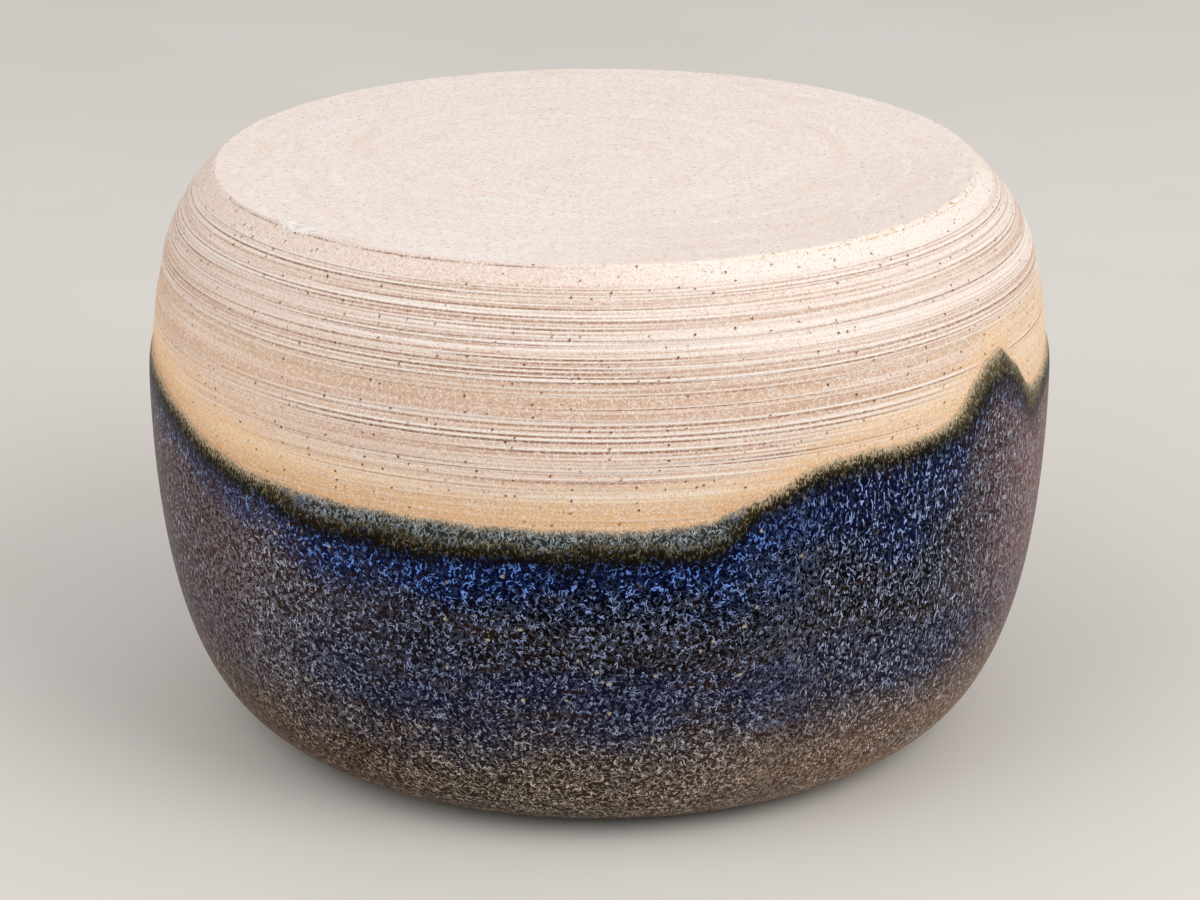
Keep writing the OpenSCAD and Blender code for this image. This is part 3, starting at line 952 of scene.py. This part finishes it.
def glaze_material(piece):
    m = Shader("dipped blue glaze")
    x = m.axis("X")
    below = m.value("below")
    roll = m.value("roll")
    side = m.value("side")
    drift = m.noise(m.scaled(m.place, (1.0, 1.0, 2.0)), DRIFT_SIZE, detail=3.0, roughness=0.55)
    wobble = m.ease(drift, 0.25, 0.75, -2.2, 2.2)
    mottle = m.noise(m.place, MOTTLE_SIZE, roughness=0.6)
    shine = m.noise(m.moved(m.place, (7.0, 3.0, 9.0)), SHINE_SIZE, detail=1.0)
    shine = m.ease(shine, 0.32, 0.66, 0.1, 1.0)
    upright = m.scaled(m.place, (1.0, 1.0, 0.4))
    fur = m.noise(upright, FUR_SIZE, detail=1.0, distortion=0.5)
    level = m.plus(m.axis("Z"), wobble)
    # How far a place is past the furry edge, and past the pale roll where there is one
    edge = m.plus(below, m.ease(fur, 0.3, 0.7, 0.2, -0.2))
    past = m.plus(edge, m.times(roll, m.ease(drift, 0.3, 0.7, -1.6, -2.8)))
    on_roll = m.times(roll, m.ease(past, 0.3, -0.5))
    crest = m.value("crest")
    narrow = m.math("MINIMUM", m.ease(roll, 0.0, 1.0, 0.8, 1.0), m.ease(crest, 0.0, 1.0, 1.0, 0.5))
    spread = m.times(past, narrow)
    fringe = m.times(m.ease(past, -0.9, 0.3), m.ease(spread, 3.1, 1.0))
    # Bands of colour down the coat
    right = m.ease(x, -30.0, 30.0)
    brown = m.times(m.ease(level, *BROWN_FROM_TOP), m.ease(level, *BROWN_FROM_FOOT))
    brown = m.times(brown, m.ease(x, -22.0, -6.0))
    left = m.ease(x, -10.0, -26.0)
    colour = m.mix(brown, m.mix(left, DARK, MAUVE), BROWN)
    # Painted sheen: towards the sides the coat turns a lighter, warm purple-brown, darker on the left, in
    # place of a satin coat's grazing reflection
    sheen_purple = m.mix(right, SHEEN_PURPLE_LEFT, SHEEN_PURPLE)
    colour = m.mix(m.times(side, m.ease(mottle, 0.3, 0.6, 0.6, 1.0)), colour, sheen_purple)
    navy = m.times(m.ease(level, *NAVY_FROM), m.ease(side, 0.0, 1.0, 0.9, 0.3))
    colour = m.mix(navy, colour, NAVY)
    # Towards the rim the coat turns brown, lighter on the right; its warmth is partly the coat's own brown
    # and partly painted warm reflection from below
    rim = m.ease(level, *RIM_FROM)
    colour = m.mix(rim, colour, m.mix(right, RIM_DARK, RIM_BROWN))
    ochre = m.times(m.ease(x, 4.0, 26.0), m.ease(drift, 0.42, 0.6, 0.3, 1.0))
    colour = m.mix(m.times(rim, ochre), colour, RIM_OCHRE)
    depth = m.plus(m.times(past, m.value("fade")), wobble)
    top_blue = m.times(m.ease(depth, *BLUE_FROM), m.ease(side, 0.0, 1.0, 1.0, 0.8))
    colour = m.mix(m.times(top_blue, m.ease(shine, 0.1, 0.9, 0.25, 1.0)), colour, BLUE)
    # Brown streaks round the pot, clear of the blue
    streak = m.noise(m.scaled(m.place, (0.22, 0.22, 1.0)), STREAK_SIZE)
    streak = m.times(m.ease(streak, 0.54, 0.68, 0.0, 0.75), m.ease(top_blue, 0.0, 0.5, 1.0, 0.0))
    colour = m.mix(streak, colour, STREAK)
    # Fine curly crystals
    comb = m.value("comb")
    curly = m.hairs(size=0.54, width=0.145, stretch=1.2)
    curly = m.times(curly, m.ease(comb, 0.0, 1.0, 1.0, 0.0))
    combed = m.hairs(size=0.5, width=0.13, gap=0.48, offset=(53.0, 7.0, 31.0), stretch=2.9)
    combed = m.times(combed, comb)
    bright = m.times(m.math("MAXIMUM", curly, combed), shine)
    veil = m.ease(m.math("MAXIMUM", side, rim), 0.0, 1.0, 0.16, 0.3)
    faint = m.times(m.hairs(size=0.5, width=0.14, gap=0.46, offset=(91.0, 43.0, 17.0)), veil)
    hair = m.math("MAXIMUM", bright, m.times(faint, m.ease(top_blue, 0.0, 1.0, 1.0, 0.4)))
    far_left = m.ease(x, -33.0, -43.0)
    # On the sides the crystals' colour is partly their own and partly painted warm sheen
    hair_side = m.mix(right, m.mix(far_left, HAIR_LEFT, HAIR_FAR_LEFT), HAIR_SIDE)
    hair_colour = m.mix(top_blue, m.mix(side, HAIR_GREY, hair_side), HAIR_BLUE)
    hair_colour = m.mix(m.times(comb, 0.5), hair_colour, HAIR_PALE)
    # Crystals towards the rim are warmer, partly painted warm reflection from below
    hair_colour = m.mix(rim, hair_colour, m.mix(left, HAIR_RIM, HAIR_RIM_LEFT))
    colour = m.mix(hair, colour, hair_colour)
    tan = m.specks(size=1.5, radius=0.25, share=0.34, offset=(5.0, 9.0, 2.0))
    tan = m.times(tan, m.ease(comb, 0.0, 1.0, 1.0, 0.4))
    colour = m.mix(m.times(tan, m.ease(shine, 0.1, 1.0, 0.4, 1.0)), colour, TAN_SPECK)
    # Dark olive fringe, pale furry roll and fuzzy edge along the dip line
    strand = m.hairs(size=0.46, width=0.13, gap=0.42, offset=(13.0, 29.0, 3.0), stretch=2.2)
    strand = m.times(strand, shine)
    fringe_base = m.mix(m.ease(spread, 1.5, 0.4, 0.0, m.ease(roll, 0.0, 1.0, 0.8, 0.2)), FRINGE, OLIVE)
    fringe_base = m.mix(m.times(crest, m.ease(spread, 1.6, 0.4, 0.0, 0.9)), fringe_base, CREST)
    fringe_hair = m.mix(crest, m.mix(roll, HAIR_FRINGE, HAIR_OLIVE), HAIR_CREST)
    strand_end = m.ease(roll, 0.0, 1.0, 2.6, 1.6)
    in_fringe = m.times(strand, m.ease(spread, strand_end, 0.3, 0.0, 0.9))
    fringe_colour = m.mix(in_fringe, fringe_base, fringe_hair)
    colour = m.mix(m.times(fringe, m.ease(hair, 0.0, 1.0, 1.0, 0.9)), colour, fringe_colour)
    low = m.times(m.ease(past, -1.4, -0.1), m.ease(mottle, 0.35, 0.6, 0.3, 1.0))
    roll_hair = m.math("MAXIMUM", strand, m.times(faint, 2.8))
    roll_colour = m.mix(roll_hair, m.mix(low, ROLL, OLIVE), m.mix(low, HAIR_ROLL, HAIR_OLIVE))
    colour = m.mix(on_roll, colour, roll_colour)
    fray = m.plus(below, m.times(m.ease(fur, 0.3, 0.7, 0.5, -0.5), m.ease(roll, 0.0, 1.0, 1.0, 0.5)))
    fuzz = m.times(m.ease(fray, 0.95, 0.1, 0.0, 0.8), m.ease(roll, 0.0, 1.0, 1.0, 0.45))
    colour = m.mix(fuzz, colour, FUZZ)
    # Painted shade: the coat's edge fades to a darkened clay colour, which tones down the key light caught by
    # its raised bevel
    colour = m.mix(m.ease(edge, 0.35, -0.15), colour, SHADED_EDGE_CLAY)
    m.put(m.bsdf.inputs["Base Color"], colour)
    m.put(m.bsdf.inputs["Roughness"], m.ease(hair, 0.0, 1.0, 0.4, 0.55))
    m.bsdf.inputs["Specular IOR Level"].default_value = 0.03
    m.bsdf.inputs["Sheen Weight"].default_value = 0.08
    m.bsdf.inputs["Sheen Roughness"].default_value = 0.25
    m.bsdf.inputs["Sheen Tint"].default_value = SATIN_TINT
    height = m.plus(hair, m.times(mottle, 0.6))
    m.put(m.bsdf.inputs["Normal"], m.bump(height, strength=0.5, distance=0.02))
    m.finish(piece)


# The liner's mottling, and the lengths from the lip over which its pool in the middle sets in
LINER_MOTTLE_SIZE = 1.8
POOL_FROM = (45.0, 75.0)


def liner_material(piece):
    m = Shader("poured liner glaze")
    inward = m.value("inward")
    mottle = m.noise(m.place, LINER_MOTTLE_SIZE, detail=3.0, roughness=0.6)
    pool = m.ease(inward, *POOL_FROM)
    colour = m.mix(m.ease(mottle, 0.35, 0.65), BROWN, NAVY)
    colour = m.mix(pool, colour, BLUE)
    hair = m.hairs(size=0.55, width=0.17)
    colour = m.mix(m.times(hair, 0.7), colour, HAIR_GREY)
    m.put(m.bsdf.inputs["Base Color"], colour)
    m.put(m.bsdf.inputs["Roughness"], m.ease(hair, 0.0, 1.0, 0.3, 0.5))
    m.put(m.bsdf.inputs["Normal"], m.bump(m.plus(hair, mottle), strength=0.4, distance=0.03))
    m.finish(piece)


# Stage, light and camera
# Width of the floor in metres, and size of its faint clouds
FLOOR_SIZE = 6.0
CLOUD_SIZE = 60.0
FLOOR_COLOUR = srgb(226, 222, 216)
FLOOR_CLOUD = srgb(229, 225, 220)
WORLD_COLOUR = srgb(240, 238, 236)
WORLD_STRENGTH = 0.65
# The photograph's camera: place in metres, pitch in degrees below level, and lens and sensor in millimetres
CAMERA_PLACE = (0.00006, -0.3833, 0.1643)
CAMERA_PITCH = 19.447
CAMERA_LENS = 108.0
SENSOR_WIDTH = 36.0
CLIP_START = 0.01
# Lamps: name, place and size in metres, and watts
LAMPS = [
    ("soft key", (0.5, -0.42, 0.55), 0.6, 2.9),
    ("soft fill", (-0.55, -0.4, 0.6), 0.9, 2.4),
    ("soft side", (0.7, 0.05, 0.35), 0.4, 0.5),
]


def make_floor():
    half = FLOOR_SIZE / 2
    mesh = bpy.data.meshes.new("floor")
    corners = [(-half, -half, 0), (half, -half, 0), (half, half, 0), (-half, half, 0)]
    mesh.from_pydata(corners, [], [(0, 1, 2, 3)])
    floor = bpy.data.objects.new("floor", mesh)
    bpy.context.scene.collection.objects.link(floor)
    m = Shader("pale floor")
    cloud = m.noise(m.place, CLOUD_SIZE)
    m.put(m.bsdf.inputs["Base Color"], m.mix(m.ease(cloud, 0.3, 0.7), FLOOR_COLOUR, FLOOR_CLOUD))
    m.bsdf.inputs["Roughness"].default_value = 0.85
    m.finish(floor)


def make_lamp(name, place, size, watts):
    lamp = bpy.data.lights.new(name, "AREA")
    lamp.shape = "DISK"
    lamp.size = size
    lamp.energy = watts
    holder = bpy.data.objects.new(name, lamp)
    bpy.context.scene.collection.objects.link(holder)
    holder.location = place
    aim = Vector((0, 0, POT_H * MM / 2)) - holder.location
    holder.rotation_euler = aim.to_track_quat("-Z", "Y").to_euler()


def make_light():
    world = bpy.data.worlds.new("studio")
    bpy.context.scene.world = world
    world.use_nodes = True
    sky = world.node_tree.nodes["Background"]
    sky.inputs["Color"].default_value = WORLD_COLOUR
    sky.inputs["Strength"].default_value = WORLD_STRENGTH
    for lamp in LAMPS:
        make_lamp(*lamp)


def make_camera():
    lens = bpy.data.cameras.new("camera")
    lens.lens = CAMERA_LENS
    lens.sensor_width = SENSOR_WIDTH
    lens.sensor_fit = "HORIZONTAL"
    lens.clip_start = CLIP_START
    camera = bpy.data.objects.new("camera", lens)
    bpy.context.scene.collection.objects.link(camera)
    camera.location = CAMERA_PLACE
    camera.rotation_euler = (math.radians(90 - CAMERA_PITCH), 0, 0)
    bpy.context.scene.camera = camera


make_camera()
make_light()
make_floor()
for make, material, node, slot in (
    (make_clay, clay_material, "stoneware_body", "bare_stoneware"),
    (make_glaze, glaze_material, "outer_glaze", "blue_glaze"),
    (make_liner, liner_material, "inner_glaze", "liner_glaze"),
):
    piece = make()
    weld_ends(piece)
    material(piece)
    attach(piece, "root")
    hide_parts(node)

bpy.context.scene.view_settings.view_transform = "Standard"
